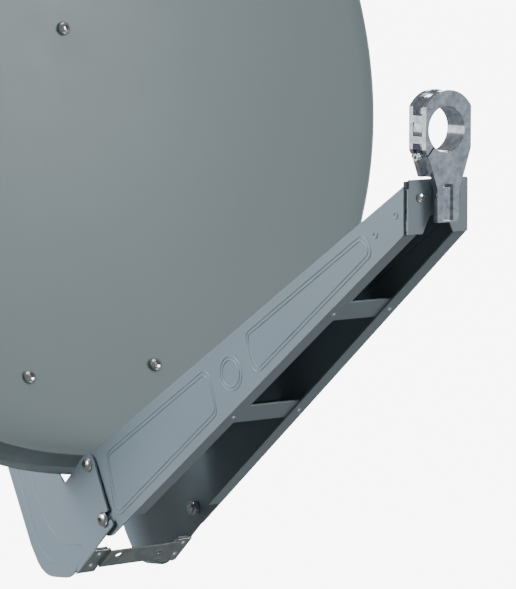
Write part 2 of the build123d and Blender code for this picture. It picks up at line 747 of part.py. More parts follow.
def tilt_lock_bolts():
    """Bolts that run in the cheeks' curved slots."""
    spot = tilt_point(ARC_MID)
    return both(bolt_left(spot, -CHEEK_OUT - 0.3 - WASHER_T, -BRACKET_OUT + BRACKET_T + 8.5, 7.0))


def tilt_washers():
    """Washers under the elevation bolts' heads."""
    washers = []
    for spot in (TILT, tilt_point(ARC_MID)):
        plane = facing_left(spot, -CHEEK_OUT - 0.3)
        washers.extend(both(plane.location * ring(10.0, M8, WASHER_T)))
    return washers


def tilt_nuts():
    """Nuts inside the bracket's side plates."""
    nuts = []
    for spot in (TILT, tilt_point(ARC_MID)):
        nuts.extend(both(nut_left(spot, -BRACKET_OUT + BRACKET_T)))
    return nuts


def save_all():
    """Build every node and write it."""
    save("reflector", reflector())
    save("reflector_screws", at_screws(dome(7.0, 5.2) + Pos(0, 0, -9.5) * Cylinder(M6, 19.2), 0.6))
    save("reflector_bushes", at_screws(ring(7.0, M6 + 0.1, SPACER - 0.2), LUG_BACK))
    save("reflector_nuts", at_screws(hex_nut(10.0, M6, 5.0), LUG_BACK - LUG_T - 5.0))
    left = cheek()
    save("cheek_left", left)
    save("cheek_right", mirrored(left))
    save("bottom_cross_plate", bottom_cross_plate())
    save("bottom_cross_rivets", cross_rivets())
    save("upper_cross_plate", upper_cross_plate())
    save("upper_cross_rivets", upper_rivets())
    side = arm_side()
    save("arm_side_left", side)
    save("arm_side_right", mirrored(side))
    save("arm_web", arm_web())
    for share, name in BRACES:
        save(f"arm_brace_{name}", brace(share))
    save("arm_rivets", arm_rivets())
    ear_in = plate_in(0) + 0.4
    save("fold_pivot_bolts", both(bolt_left((0, 0), -CHEEK_OUT, ear_in + 8.5, 7.0)))
    save("fold_pivot_nuts", both(nut_left((0, 0), ear_in + 0.35)))
    lock_in = plate_in(LOCK[0])
    save("lock_bolts", both(bolt_left(LOCK, -CHEEK_OUT - 0.3, lock_in + 9.5, 7.4)))
    save("lock_spacers", both(washer_left(LOCK, -CHEEK_IN + 0.3, CHEEK_IN - 0.3 + lock_in - ARM_SHEET - 0.4, 6.5)))
    save("lock_nuts", both(nut_left(LOCK, lock_in + 0.6)))
    save("tip_bracket", tip_bracket())
    save("tip_bracket_screws", bracket_screws())
    save("feed_holder", feed_holder())
    save("holder_screw", holder_screw())
    save("clamp_screw", clamp_screw())
    save("edge_plug", edge_plug())
    save("mast_bracket", mast_bracket())
    save("clamp_bolts", clamp_bolts())
    for name, z in (("upper", MAST[1] + JAW_Z), ("lower", MAST[1] - JAW_Z)):
        save(f"clamp_jaw_{name}", clamp_jaw(z))
        save(f"clamp_washers_{name}", jaw_fasteners(z, ring(8.0, M8 + 0.3, WASHER_T), 0))
        save(f"clamp_nuts_{name}", jaw_fasteners(z, hex_nut(13.0, M8 + 0.3, 6.5), WASHER_T))
    save("tilt_pivot_bolts", tilt_bolts())
    save("tilt_lock_bolts", tilt_lock_bolts())
    save("tilt_washers", tilt_washers())
    save("tilt_nuts", tilt_nuts())


if __name__ == "__main__":
    os.makedirs("parts", exist_ok=True)
    save_all()
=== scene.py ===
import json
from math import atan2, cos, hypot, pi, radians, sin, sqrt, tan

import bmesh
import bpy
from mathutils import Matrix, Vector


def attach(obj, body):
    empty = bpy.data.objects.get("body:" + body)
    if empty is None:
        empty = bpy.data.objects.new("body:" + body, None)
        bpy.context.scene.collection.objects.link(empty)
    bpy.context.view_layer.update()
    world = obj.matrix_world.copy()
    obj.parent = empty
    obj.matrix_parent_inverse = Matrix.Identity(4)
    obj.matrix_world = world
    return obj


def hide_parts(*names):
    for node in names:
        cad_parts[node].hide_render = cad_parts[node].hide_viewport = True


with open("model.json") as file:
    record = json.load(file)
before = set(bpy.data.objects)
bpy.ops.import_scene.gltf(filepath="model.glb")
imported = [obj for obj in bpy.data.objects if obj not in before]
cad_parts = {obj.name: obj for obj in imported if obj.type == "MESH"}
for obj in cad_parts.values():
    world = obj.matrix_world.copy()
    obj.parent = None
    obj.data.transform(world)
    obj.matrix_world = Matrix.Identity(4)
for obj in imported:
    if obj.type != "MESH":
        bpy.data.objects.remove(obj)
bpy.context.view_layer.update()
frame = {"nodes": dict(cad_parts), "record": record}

# %% [markdown]
# # An offset satellite dish
# This lesson dresses the CAD model of a satellite dish. The CAD part already has the right
# sizes, so each step either rounds the edges of a CAD sheet, or builds a finer piece in its
# place. All lengths are metres, +Z is up and the dish looks along -Y.


# %% [markdown]
# ## Working from the arm's pivot
# The sheet work is easiest to place from the bolt that the feed arm folds on. One helper
# turns millimetres from that bolt into metres in the scene, so the numbers below can be
# compared with a drawing.

# %% Places
PIVOT = (0.0, -300.0, -150.0)    # the arm's fold bolt, in millimetres from the mast clamp's middle


def place(x, y, z):
    """Millimetres from the fold pivot to metres in the scene."""
    return Vector((x + PIVOT[0], y + PIVOT[1], z + PIVOT[2])) / 1000


def mm(value):
    return value / 1000


print("fold pivot at", tuple(place(0, 0, 0)))

# %% [markdown]
# ## Colours
# Colours are written as hex numbers, the way a paint chart gives them. Cycles works with
# linear light, so one function converts them.


# %% Colours
def linear(code):
    """Linear colour of a hex colour such as 8A8F91."""
    parts = [int(code[i:i + 2], 16) / 255 for i in (0, 2, 4)]
    return tuple(p / 12.92 if p <= 0.04045 else ((p + 0.055) / 1.055) ** 2.4 for p in parts) + (1.0,)


print("mid grey is", linear("808080"))

# %% [markdown]
# ## One helper for every node
# A material is a small graph. This helper adds a node, sets its options and fills its
# sockets with either a value or another node's output.


# %% Node helper
def fill(tree, node, sockets):
    """Give each named socket its value, or a link from another node."""
    for name, value in sockets.items():
        if isinstance(value, bpy.types.NodeSocket):
            tree.links.new(value, node.inputs[name])
        else:
            node.inputs[name].default_value = value


def add(tree, kind, sockets=None, **options):
    """A new node with its options set and its sockets filled."""
    node = tree.nodes.new(kind)
    for name, value in options.items():
        setattr(node, name, value)
    fill(tree, node, sockets or {})
    return node


def new_material(name):
    """An empty material, its tree, its shader and the object's own coordinates."""
    material = bpy.data.materials.new(name)
    material.use_nodes = True
    tree = material.node_tree
    tree.nodes.clear()
    shader = add(tree, "ShaderNodeBsdfPrincipled")
    output = add(tree, "ShaderNodeOutputMaterial")
    tree.links.new(shader.outputs["BSDF"], output.inputs["Surface"])
    where = add(tree, "ShaderNodeTexCoord").outputs["Object"]
    return material, tree, shader, where


NOISE_SPAN = {"From Min": 0.3, "From Max": 0.7}     # a noise pattern seldom leaves this span
print("a noise pattern is read over", NOISE_SPAN)

# %% [markdown]
# ## Powder-coated sheet
# Dishes are sprayed with dry powder that melts into a skin in an oven. The skin flows out
# unevenly, so it has a faint orange-peel relief about 1.5 mm across. That relief is what
# makes the highlight on a large bowl broad and a little broken. Weather and handling add
# cloudy patches, which change both the colour and the gloss.


# %% Powder-coated paint
PEEL_SIZE = 0.0015       # orange peel, 1.5 mm from bump to bump
PEEL_HEIGHT = 0.00002    # and 0.02 mm high
RUB_SIZE = 0.03          # hands and rain rub it in patches about 30 mm across


def powder_coat(name, light, dark, roughness, patch):
    """Baked powder paint: light and dark are its cleanest and dullest colours."""
    material, tree, shader, where = new_material(name)
    cloud = add(tree, "ShaderNodeTexNoise", {"Vector": where, "Scale": 1 / patch, "Detail": 4.0})
    dulled = add(tree, "ShaderNodeMapRange", {"Value": cloud.outputs["Fac"], **NOISE_SPAN})
    colour = add(tree, "ShaderNodeMix", {
        0: dulled.outputs[0], 6: linear(light), 7: linear(dark)}, data_type="RGBA")
    rubbed = add(tree, "ShaderNodeTexNoise", {"Vector": where, "Scale": 1 / RUB_SIZE, "Detail": 5.0})
    gloss = add(tree, "ShaderNodeMapRange", {
        "Value": rubbed.outputs["Fac"], **NOISE_SPAN,
        "To Min": roughness - 0.02, "To Max": roughness + 0.03})
    peel = add(tree, "ShaderNodeTexNoise", {"Vector": where, "Scale": 1 / PEEL_SIZE, "Detail": 1.0})
    relief = add(tree, "ShaderNodeBump", {
        "Height": peel.outputs["Fac"], "Distance": PEEL_HEIGHT, "Strength": 0.5})
    fill(tree, shader, {"Base Color": colour.outputs[2], "Roughness": gloss.outputs[0],
                        "Normal": relief.outputs[0], "IOR": 1.5})
    return material


dish_paint = powder_coat("powder coated dish paint", "7B8688", "788385", 0.45, 0.25)
carrier_paint = powder_coat("powder coated carrier paint", "808B90", "79848A", 0.36, 0.12)
arm_paint = powder_coat("powder coated arm paint", "7C888D", "768186", 0.36, 0.12)
print("paints", dish_paint.name, carrier_paint.name, arm_paint.name)

# %% [markdown]
# ## Galvanised steel
# Steel dipped in molten zinc freezes into flat crystals a few millimetres across, each
# catching the light at its own angle. A cell pattern gives each crystal its own roughness
# and tint. The metal keeps its default index of refraction.


# %% Galvanised sheet
SPANGLE = 0.007          # zinc crystals about 7 mm across
FROST_SIZE = 0.004       # with a frosty relief of 4 mm patches
FROST_HEIGHT = 0.00004   # 0.04 mm high


def galvanised(name):
    """Zinc-dipped steel: each crystal has its own grey and its own shine."""
    material, tree, shader, where = new_material(name)
    cells = add(tree, "ShaderNodeTexVoronoi", {"Vector": where, "Scale": 1 / SPANGLE})
    value = add(tree, "ShaderNodeSeparateColor", {0: cells.outputs["Color"]}).outputs[0]
    colour = add(tree, "ShaderNodeMix", {
        0: value, 6: linear("B1B9B7"), 7: linear("9AA3A1")}, data_type="RGBA")
    rough = add(tree, "ShaderNodeMapRange", {"Value": value, "To Min": 0.28, "To Max": 0.42})
    frost = add(tree, "ShaderNodeTexNoise", {"Vector": where, "Scale": 1 / FROST_SIZE, "Detail": 3.0})
    relief = add(tree, "ShaderNodeBump", {
        "Height": frost.outputs["Fac"], "Distance": FROST_HEIGHT, "Strength": 0.4})
    fill(tree, shader, {"Base Color": colour.outputs[2], "Roughness": rough.outputs[0],
                        "Normal": relief.outputs[0], "Metallic": 1.0})
    return material


zinc_sheet = galvanised("hot dip galvanised steel")
print("sheet", zinc_sheet.name)

# %% [markdown]
# ## Turned and plated metal
# Screws are headed cold and tumbled, which leaves a soft shine with fine scratches in every
# direction. The same recipe with a little more roughness and a cooler tint gives
# electroplated zinc, and with less roughness gives chromium plate over a zinc casting.


# %% Plated metals
STAIN_SIZE = 0.006       # slight stains, 6 mm across
SCRATCH_SIZE = 0.0008    # tumbling marks, 0.8 mm apart
SCRATCH_STRETCH = 6      # and finer up and down than across
DENT_SIZE = 0.003        # soft dents, 3 mm across


def plated(name, light, dark, roughness, relief):
    """Bare or plated metal: relief is the height of its fine marks, in metres."""
    material, tree, shader, where = new_material(name)
    stains = add(tree, "ShaderNodeTexNoise", {"Vector": where, "Scale": 1 / STAIN_SIZE, "Detail": 4.0})
    dulled = add(tree, "ShaderNodeMapRange", {"Value": stains.outputs["Fac"], **NOISE_SPAN})
    colour = add(tree, "ShaderNodeMix", {
        0: dulled.outputs[0], 6: linear(light), 7: linear(dark)}, data_type="RGBA")
    drawn = add(tree, "ShaderNodeMapping", {"Vector": where, "Scale": (1, 1, SCRATCH_STRETCH)})
    scratches = add(tree, "ShaderNodeTexNoise", {
        "Vector": drawn.outputs[0], "Scale": 1 / SCRATCH_SIZE, "Detail": 2.0})
    gloss = add(tree, "ShaderNodeMapRange", {
        "Value": scratches.outputs["Fac"], **NOISE_SPAN,
        "To Min": roughness * 0.8, "To Max": roughness * 1.3})
    dents = add(tree, "ShaderNodeTexNoise", {"Vector": where, "Scale": 1 / DENT_SIZE, "Detail": 2.0})
    bump = add(tree, "ShaderNodeBump", {
        "Height": dents.outputs["Fac"], "Distance": relief, "Strength": 0.5})
    fill(tree, shader, {"Base Color": colour.outputs[2], "Roughness": gloss.outputs[0],
                        "Normal": bump.outputs[0], "Metallic": 1.0})
    return material


stainless = plated("tumbled stainless steel", "D2D1CE", "BDBCB8", 0.22, 0.00001)
zinc_plate = plated("bright zinc plated steel", "C6C9CC", "AEB2B6", 0.3, 0.00001)
rivet_metal = plated("headed aluminium rivet", "CFCFCF", "B9B9B9", 0.32, 0.00001)
chrome = plated("chromium plated zinc casting", "E6E9EC", "AEB6C1", 0.14, 0.0001)
print("metals", stainless.name, zinc_plate.name, rivet_metal.name, chrome.name)

# %% [markdown]
# ## Moulded plastic
# The bushes are polyethylene: dark, waxy and slightly uneven. The edge plug, a small black
# piece at the top corner of the arm's tip, gets the same finish. Waxy plastic has a lower
# index of refraction than paint, about 1.46 to 1.5.


# %% Moulded plastic
FLOW_SIZE = 0.004        # the melt's flow shows in 4 mm clouds
GRAIN_SIZE = 0.0006      # over the mould's own fine grain, 0.6 mm
GRAIN_HEIGHT = 0.00001   # and 0.01 mm high
WAX_SIZE = 0.0015        # its waxy bloom comes and goes every 1.5 mm


def moulded(name, light, dark):
    """Waxy plastic, duller where it cooled against the mould."""
    material, tree, shader, where = new_material(name)
    flow = add(tree, "ShaderNodeTexNoise", {"Vector": where, "Scale": 1 / FLOW_SIZE, "Detail": 3.0})
    clouded = add(tree, "ShaderNodeMapRange", {"Value": flow.outputs["Fac"], **NOISE_SPAN})
    colour = add(tree, "ShaderNodeMix", {
        0: clouded.outputs[0], 6: linear(light), 7: linear(dark)}, data_type="RGBA")
    wax = add(tree, "ShaderNodeTexNoise", {"Vector": where, "Scale": 1 / WAX_SIZE, "Detail": 2.0})
    gloss = add(tree, "ShaderNodeMapRange", {
        "Value": wax.outputs["Fac"], **NOISE_SPAN, "To Min": 0.42, "To Max": 0.55})
    grain = add(tree, "ShaderNodeTexNoise", {"Vector": where, "Scale": 1 / GRAIN_SIZE, "Detail": 1.0})
    relief = add(tree, "ShaderNodeBump", {
        "Height": grain.outputs["Fac"], "Distance": GRAIN_HEIGHT, "Strength": 0.4})
    fill(tree, shader, {"Base Color": colour.outputs[2], "Roughness": gloss.outputs[0],
                        "Normal": relief.outputs[0], "IOR": 1.48})
    return material


soft_black = moulded("moulded black polyethylene", "1B1C1D", "121314")
print("plastic", soft_black.name)

# %% [markdown]
# ## Finishes for the CAD nodes
# The CAD pieces are shown only where nothing finer is built, but all of them get their
# finish first, so that none is left a flat colour.

# %% Assign finishes to slots
FINISH = {
    "reflector_paint": dish_paint, "carrier_paint": carrier_paint, "arm_paint": arm_paint,
    "galvanised_sheet": zinc_sheet, "stainless_screws": stainless, "zinc_fasteners": zinc_plate,
    "rivet_metal": rivet_metal, "cast_holder": chrome, "bush_plastic": soft_black,
    "plug_plastic": soft_black,
}
SLOT = {entry["node"]: entry["material_slot"] for entry in frame["record"]["subparts"]}
BODY = {node: body for body, nodes in frame["record"]["behaviour"]["bodies"].items() for node in nodes}
for node, thing in frame["nodes"].items():
    thing.data.materials.clear()
    thing.data.materials.append(FINISH[SLOT[node]])
print(len(SLOT), "nodes in", len(FINISH), "finishes")

# %% [markdown]
# ## Finishing a piece
# Every piece ends the same way: a plain mesh at the origin, faces outward, riding on its
# CAD body, with its finish in its material slot. Sharp edges are marked by angle, so flats stay
# flat and curves stay smooth.


# %% Finishing helpers
def finish_piece(thing, node, sharp=32):
    """Normals, shading and body for a piece that stands for a CAD node."""
    made = bmesh.new()
    made.from_mesh(thing.data)
    bmesh.ops.recalc_face_normals(made, faces=made.faces)
    made.to_mesh(thing.data)
    made.free()
    thing.data.polygons.foreach_set("use_smooth", [True] * len(thing.data.polygons))
    thing.data.set_sharp_from_angle(angle=radians(sharp))
    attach(thing, BODY[node])
    return thing


def new_piece(name, mesh, material):
    mesh.materials.clear()
    mesh.materials.append(material)
    thing = bpy.data.objects.new(name, mesh)
    bpy.context.scene.collection.objects.link(thing)
    return thing


def made_plain(thing):
    """Turn modifiers into one plain mesh."""
    bpy.context.view_layer.update()
    graph = bpy.context.evaluated_depsgraph_get()
    mesh = bpy.data.meshes.new_from_object(thing.evaluated_get(graph))
    thing.modifiers.clear()
    thing.data = mesh
    return thing


print("finishing helpers ready")

# %% [markdown]
# ## Softened sheet edges
# Cut and pressed sheet is never razor sharp, and a thin bright line along each edge is what
# tells the eye that it is metal. The CAD mesh is welded, its flat triangles are merged, and
# a small bevel goes on every edge that turns by more than 30 degrees.


# %% Soften the edges of CAD sheets
def softened(node, width, segments=2):
    """A copy of a CAD node with bevelled edges, width in millimetres."""
    mesh = frame["nodes"][node].data.copy()
    mesh.name = node + "_softened"
    for name in [a.name for a in mesh.attributes if a.name == "custom_normal"]:
        mesh.attributes.remove(mesh.attributes[name])
    work = bmesh.new()
    work.from_mesh(mesh)
    bmesh.ops.remove_doubles(work, verts=work.verts, dist=1e-6)
    bmesh.ops.dissolve_limit(work, angle_limit=radians(0.6), verts=work.verts, edges=work.edges)
    work.to_mesh(mesh)
    work.free()
    thing = new_piece(node + "_softened", mesh, FINISH[SLOT[node]])
    bevel = thing.modifiers.new("soft edges", "BEVEL")
    bevel.width = mm(width)
    bevel.segments = segments
    bevel.limit_method = "ANGLE"
    bevel.angle_limit = radians(30)
    bevel.use_clamp_overlap = True
    made_plain(thing)
    finish_piece(thing, node)
    thing.modifiers.new("flats stay flat", "WEIGHTED_NORMAL").keep_sharp = True
    made_plain(thing)
    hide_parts(node)
    return thing


SHEETS = {
    "cheek_left": 0.35, "cheek_right": 0.35, "upper_cross_plate": 0.3, "bottom_cross_plate": 0.3,
    "arm_side_left": 0.35, "arm_side_right": 0.35, "arm_web": 0.25, "arm_brace_front": 0.3,
    "arm_brace_rear": 0.3, "tip_bracket": 0.3, "mast_bracket": 0.5, "clamp_jaw_upper": 0.4,
    "clamp_jaw_lower": 0.4, "feed_holder": 0.9, "edge_plug": 0.2,
}
for node, width in SHEETS.items():
    piece = softened(node, width)
    print(piece.name, len(piece.data.polygons), "faces")

# %% [markdown]
# ## The reflector
# An offset dish is a round piece cut out of one side of a paraboloid, so the feed stands
# below the beam and does not shade it. The bowl is drawn from the formula itself: a point at
# (x, h) lies (x² + h²) / 4f in front of the vertex. One closed mesh runs from the middle of
# the face out to the crease, back through the cove, round the rolled lip and home along the
# back. That gives exact, even quads where a CAD export has long triangles.

# %% Reflector numbers
FOCAL = 555.0                       # the paraboloid's focal length
BEAM_UP = radians(36.9)             # how far up the beam looks
MIDDLE = 391.0                      # height of the cut's middle over the paraboloid's axis
RADIUS = 405.0                      # radius of the cut, seen along the beam
SHEET = 2.0                         # thickness of the sheet
FOCUS = Vector((0, -409.0, 347.0))  # where the feed hears the beam, from the fold pivot
BEAM = Vector((0, -cos(BEAM_UP), sin(BEAM_UP)))
ALONG = Vector((0, sin(BEAM_UP), cos(BEAM_UP)))
VERTEX = FOCUS - BEAM * FOCAL


def dish_point(x, h):
    """Point of the reflecting face, in millimetres from the fold pivot."""
    return VERTEX + Vector((x, 0, 0)) + ALONG * h + BEAM * ((x * x + h * h) / (4 * FOCAL))


def dish_out(h):
    """Way straight out of the face on the middle line."""
    return (BEAM - ALONG * (h / (2 * FOCAL))).normalized()


print("the face's middle is at", tuple(place(*dish_point(0, MIDDLE))))

# %% [markdown]
# The rim's cross-section is a short list of places: how far out from the crease, and how far
# behind it. Each is laid off along the rim's own outward way at every step round the dish.


# %% Reflector mesh
def arc(start, middle, stop, steps):
    """Points of the circle through three places, from start to stop."""
    (ax, ay), (bx, by), (cx, cy) = start, middle, stop
    d = 2 * (ax * (by - cy) + bx * (cy - ay) + cx * (ay - by))
    a2, b2, c2 = ax * ax + ay * ay, bx * bx + by * by, cx * cx + cy * cy
    ux = (a2 * (by - cy) + b2 * (cy - ay) + c2 * (ay - by)) / d
    uy = (a2 * (cx - bx) + b2 * (ax - cx) + c2 * (bx - ax)) / d
    r = hypot(ax - ux, ay - uy)
    first = atan2(ay - uy, ax - ux)
    last = atan2(cy - uy, cx - ux)
    via = atan2(by - uy, bx - ux)
    if (via - first) % (2 * pi) > (last - first) % (2 * pi):
        turn = -((first - last) % (2 * pi))
    else:
        turn = (last - first) % (2 * pi)
    return [(ux + r * cos(first + turn * k / steps), uy + r * sin(first + turn * k / steps))
            for k in range(steps + 1)]


BEAD = 2.6                # radius of the rolled edge
LIP = -24.3 + BEAD        # how far behind the crease the lip lies
OUT = 15.8                # how far outside the crease the edge reaches
RIM = ([(-1.2, -0.15), (-0.4, 0.0), (0.4, -0.1)]
       + arc((0.9, -0.4), (3.6, -13.0), (8.8, LIP), 12)
       + arc((OUT - BEAD, LIP), (OUT, LIP - BEAD), (OUT - BEAD, LIP - 2 * BEAD), 8)
       + [(OUT - BEAD - 1.6, LIP - 1.8)]
       + arc((7.6, LIP - 1.8), (1.9, -13.6), (-1.0, -2.6), 10))


def rim_frame(turn):
    """Crease point, outward way and forward way of the rim at an angle round the dish."""
    low, high = dish_point(0, MIDDLE - RADIUS), dish_point(0, MIDDLE + RADIUS)
    up = (high - low).normalized()
    long_half = (high - low).length / 2
    forward = Vector((1, 0, 0)).cross(up)
    here = (low + high) / 2 + Vector((1, 0, 0)) * RADIUS * cos(turn) + up * long_half * sin(turn)
    out = (Vector((1, 0, 0)) * long_half * cos(turn) + up * RADIUS * sin(turn)).normalized()
    return here, out, forward


ROUND = 256               # points round the dish
BOWL_RINGS = 30           # rings from its middle to its crease
shares = [k / BOWL_RINGS for k in range(1, BOWL_RINGS)] + [(RADIUS - 2.5) / RADIUS]


def reflector_ring(row, turn):
    """Point of a ring: face rings, then rim rings, then back rings."""
    if row < len(shares):
        share = shares[row]
        return dish_point(RADIUS * share * cos(turn), MIDDLE + RADIUS * share * sin(turn))
    row -= len(shares)
    if row < len(RIM):
        here, out, forward = rim_frame(turn)
        return here + out * RIM[row][0] + forward * RIM[row][1]
    share = shares[-1 - (row - len(RIM))]
    return dish_point(RADIUS * share * cos(turn), MIDDLE + RADIUS * share * sin(turn)) - BEAM * SHEET


def ring_mesh(name, rows, ring_point, first, last, around):
    """Closed mesh on rings of points, with a point at each pole."""
    made = bmesh.new()
    rings = [[made.verts.new(ring_point(row, 2 * pi * k / around)) for k in range(around)]
             for row in range(rows)]
    poles = (made.verts.new(first), made.verts.new(last))
    for low, high in zip(rings, rings[1:]):
        for k in range(around):
            n = (k + 1) % around
            made.faces.new((low[k], low[n], high[n], high[k]))
    for k in range(around):
        n = (k + 1) % around
        made.faces.new((poles[0], rings[0][n], rings[0][k]))
        made.faces.new((poles[1], rings[-1][k], rings[-1][n]))
    mesh = bpy.data.meshes.new(name)
    made.to_mesh(mesh)
    made.free()
    return mesh


def place_point(row, turn):
    return place(*reflector_ring(row, turn))


rows = len(shares) * 2 + len(RIM)
face_middle = dish_point(0, MIDDLE)
dish_mesh = ring_mesh("reflector_bowl", rows, place_point, place(*face_middle),
                      place(*(face_middle - BEAM * SHEET)), ROUND)
bowl = new_piece("reflector_bowl", dish_mesh, dish_paint)
finish_piece(bowl, "reflector", 40)
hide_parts("reflector")
print("reflector", len(bowl.data.polygons), "faces, crease", round(2 * RADIUS), "mm wide")

# %% [markdown]
# ## Embossed lines
# Thin sheet is stiffened by shallow pressed lines. Each is a curve on the sheet, and
# Geometry Nodes runs a round section along it, sunk so that only a low crown stands proud.
# Building them as curves keeps them editable: move a corner and the line follows.


# %% Geometry Nodes: a crown along a curve
def new_tree(name, inputs):
    """Geometry tree with named inputs of the given socket kinds."""
    tree = bpy.data.node_groups.new(name, "GeometryNodeTree")
    tree.interface.new_socket("Geometry", in_out="INPUT", socket_type="NodeSocketGeometry")
    for label, kind in inputs:
        tree.interface.new_socket(label, in_out="INPUT", socket_type=kind)
    tree.interface.new_socket("Geometry", in_out="OUTPUT", socket_type="NodeSocketGeometry")
    return tree, tree.nodes.new("NodeGroupInput"), tree.nodes.new("NodeGroupOutput")


def run_tree(thing, tree, values):
    """Put a tree on an object, fill its inputs, and keep only the mesh it makes."""
    modifier = thing.modifiers.new(tree.name, "NODES")
    modifier.node_group = tree
    for item in tree.interface.items_tree:
        if item.item_type == "SOCKET" and item.in_out == "INPUT" and item.name in values:
            modifier[item.identifier] = values[item.name]
    bpy.context.view_layer.update()
    graph = bpy.context.evaluated_depsgraph_get()
    mesh = bpy.data.meshes.new_from_object(thing.evaluated_get(graph))
    thing.modifiers.clear()
    return mesh


crown_tree, crown_in, crown_out = new_tree("crown along a curve", [
    ("Radius", "NodeSocketFloat"), ("Finish", "NodeSocketMaterial")])
section = add(crown_tree, "GeometryNodeCurvePrimitiveCircle",
              {"Resolution": 10, "Radius": crown_in.outputs["Radius"]})
tube = add(crown_tree, "GeometryNodeCurveToMesh", {
    "Curve": crown_in.outputs["Geometry"], "Profile Curve": section.outputs["Curve"], "Fill Caps": True})
whole = add(crown_tree, "GeometryNodeRealizeInstances", {"Geometry": tube.outputs["Mesh"]})
dressed = add(crown_tree, "GeometryNodeSetMaterial", {
    "Geometry": whole.outputs["Geometry"], "Material": crown_in.outputs["Finish"]})
crown_tree.links.new(dressed.outputs["Geometry"], crown_out.inputs["Geometry"])
print("crown tree has", len(crown_tree.nodes), "nodes")


# %% [markdown]
# A sheet carries several lines, so one helper joins them into one piece. A second one rounds
# the corners of an outline, because a press tool would tear the sheet at a sharp one.


# %% Helper: several lines as one piece
def crown_lines(name, lines, radius, node):
    """Piece made of crowned lines; each line is (points in mm from the pivot, closed)."""
    curve = bpy.data.curves.new(name + "_path", "CURVE")
    curve.dimensions = "3D"
    for points, closed in lines:
        spline = curve.splines.new("POLY")
        spline.points.add(len(points) - 1)
        for spot, point in zip(spline.points, points):
            spot.co = (*place(*point), 1)
        spline.use_cyclic_u = closed
    thing = bpy.data.objects.new(name + "_path", curve)
    bpy.context.scene.collection.objects.link(thing)
    mesh = run_tree(thing, crown_tree, {"Radius": mm(radius), "Finish": FINISH[SLOT[node]]})
    bpy.data.objects.remove(thing)
    piece = new_piece(name, mesh, FINISH[SLOT[node]])
    return finish_piece(piece, node)


def rounded_corners(corners, radius, steps=6):
    """Points round a polygon with rounded corners, in any plane given as (u, v)."""
    points = []
    count = len(corners)
    for i in range(count):
        here = Vector(corners[i])
        a = (Vector(corners[i - 1]) - here).normalized()
        b = (Vector(corners[(i + 1) % count]) - here).normalized()
        half = a.angle(b) / 2
        reach = radius / tan(half)
        start, stop = here + a * reach, here + b * reach
        middle = here + (a + b).normalized() * (radius / sin(half) - radius)
        points += arc(tuple(start), tuple(middle), tuple(stop), steps)
    return points


print("line helpers ready")

# %% [markdown]
# ## Panels on the arm
# Each side of the arm carries two long panels with a ring between them. The panels follow
# the taper of the side plate, so their corners come from its upper and lower edges, moved in
# by the same margin. Drawing each outline twice, one inside the other, shows the two bends
# of a pressed step.

# %% Arm edges
ARM_REAR, ARM_TIP = 55.1, 35.5      # half width over the side plates, at the pivot and the tip
TIP_Y = -449.6
TAPER = (ARM_REAR - ARM_TIP) / -TIP_Y
UPPER = ((TIP_Y, 299.1), (4.8, 7.5))
LOWER = ((TIP_Y, 256.5), (-36.7, -62.9))
LEAN = 7.35                         # a panel's ends lean by this much at each edge


def on_line(line, y, inside):
    """Height of an edge at y, moved into the plate by a margin across the edge."""
    (ya, za), (yb, zb) = line
    slope = (zb - za) / (yb - ya)
    return za + (y - ya) * slope + inside * sqrt(1 + slope * slope)


def panel(y_rear, y_front, margin, radius):
    """Outline of a panel between two places along the arm, its ends square to the arm."""
    corners = []
    for y, line, inside in ((y_rear, LOWER, margin), (y_rear, UPPER, -margin),
                            (y_front, UPPER, -margin), (y_front, LOWER, margin)):
        shift = -LEAN if line is LOWER else LEAN
        corners.append((y + shift, on_line(line, y + shift, inside)))
    return rounded_corners(corners, radius)


def circle(centre, radius, steps=40):
    return [(centre[0] + radius * cos(2 * pi * k / steps), centre[1] + radius * sin(2 * pi * k / steps))
            for k in range(steps)]


def on_arm(points, side, sunk):
    """Lay (y, z) points on the outer face of an arm side; side is -1 or +1."""
    return [(side * (ARM_REAR + TAPER * y - sunk), y, z) for y, z in points]


RING = (-214.7, 112.0)
CLINCHES = ((-413.3, 254.2), (-439.8, 273.0))
CROWN, SUNK = 1.0, 0.4              # radius of an embossed line, and how deep its middle lies
# each panel: its rear and front end, its margin and its corners' radius
OUTLINES = [panel(-32, -188, 10, 9), panel(-35, -185, 13.6, 6.5), circle(RING, 15.8), circle(RING, 12.4),
            panel(-242, -404, 9, 8), panel(-245, -401, 12.4, 6)]
for side, node in ((-1, "arm_side_left"), (1, "arm_side_right")):
    lines = [(on_arm(points, side, SUNK), True) for points in OUTLINES]
    lines += [(on_arm(circle(spot, 2.6, 16), side, 0.3), True) for spot in CLINCHES]
    made = crown_lines(node + "_embossing", lines, CROWN, node)
    print(made.name, len(made.data.polygons), "faces")

# %% [markdown]
# ## Stiffening lines on the cheeks
# A carrier cheek is a big flat plate, so two lines run up it beside its rear edge. The inner
# one stops short of the elevation bolts, whose washers slide on the flat sheet.

# %% Cheek lines
CHEEK_LINE_X = 57.5                 # half a millimetre under the cheek's outer face
REAR_LINES = [
    [(50, -104), (70, -104), (86, -92), (98, -71), (255, 205), (276, 300), (290, 395)],
    [(14, -80), (40, -84), (66, -74), (84, -52), (165, 90)],
]


def smooth_line(points, radius, steps=6):
    """An open line with its corners rounded."""
    line = [points[0]]
    for before, here, after in zip(points, points[1:], points[2:]):
        middle = Vector(here)
        a, b = (Vector(before) - middle), (Vector(after) - middle)
        reach = min(radius, a.length / 2.1, b.length / 2.1)
        start, stop = middle + a.normalized() * reach, middle + b.normalized() * reach
        line += [tuple(start.lerp(middle, t).lerp(middle.lerp(stop, t), t))
                 for t in (k / steps for k in range(steps + 1))]
    return line + [points[-1]]


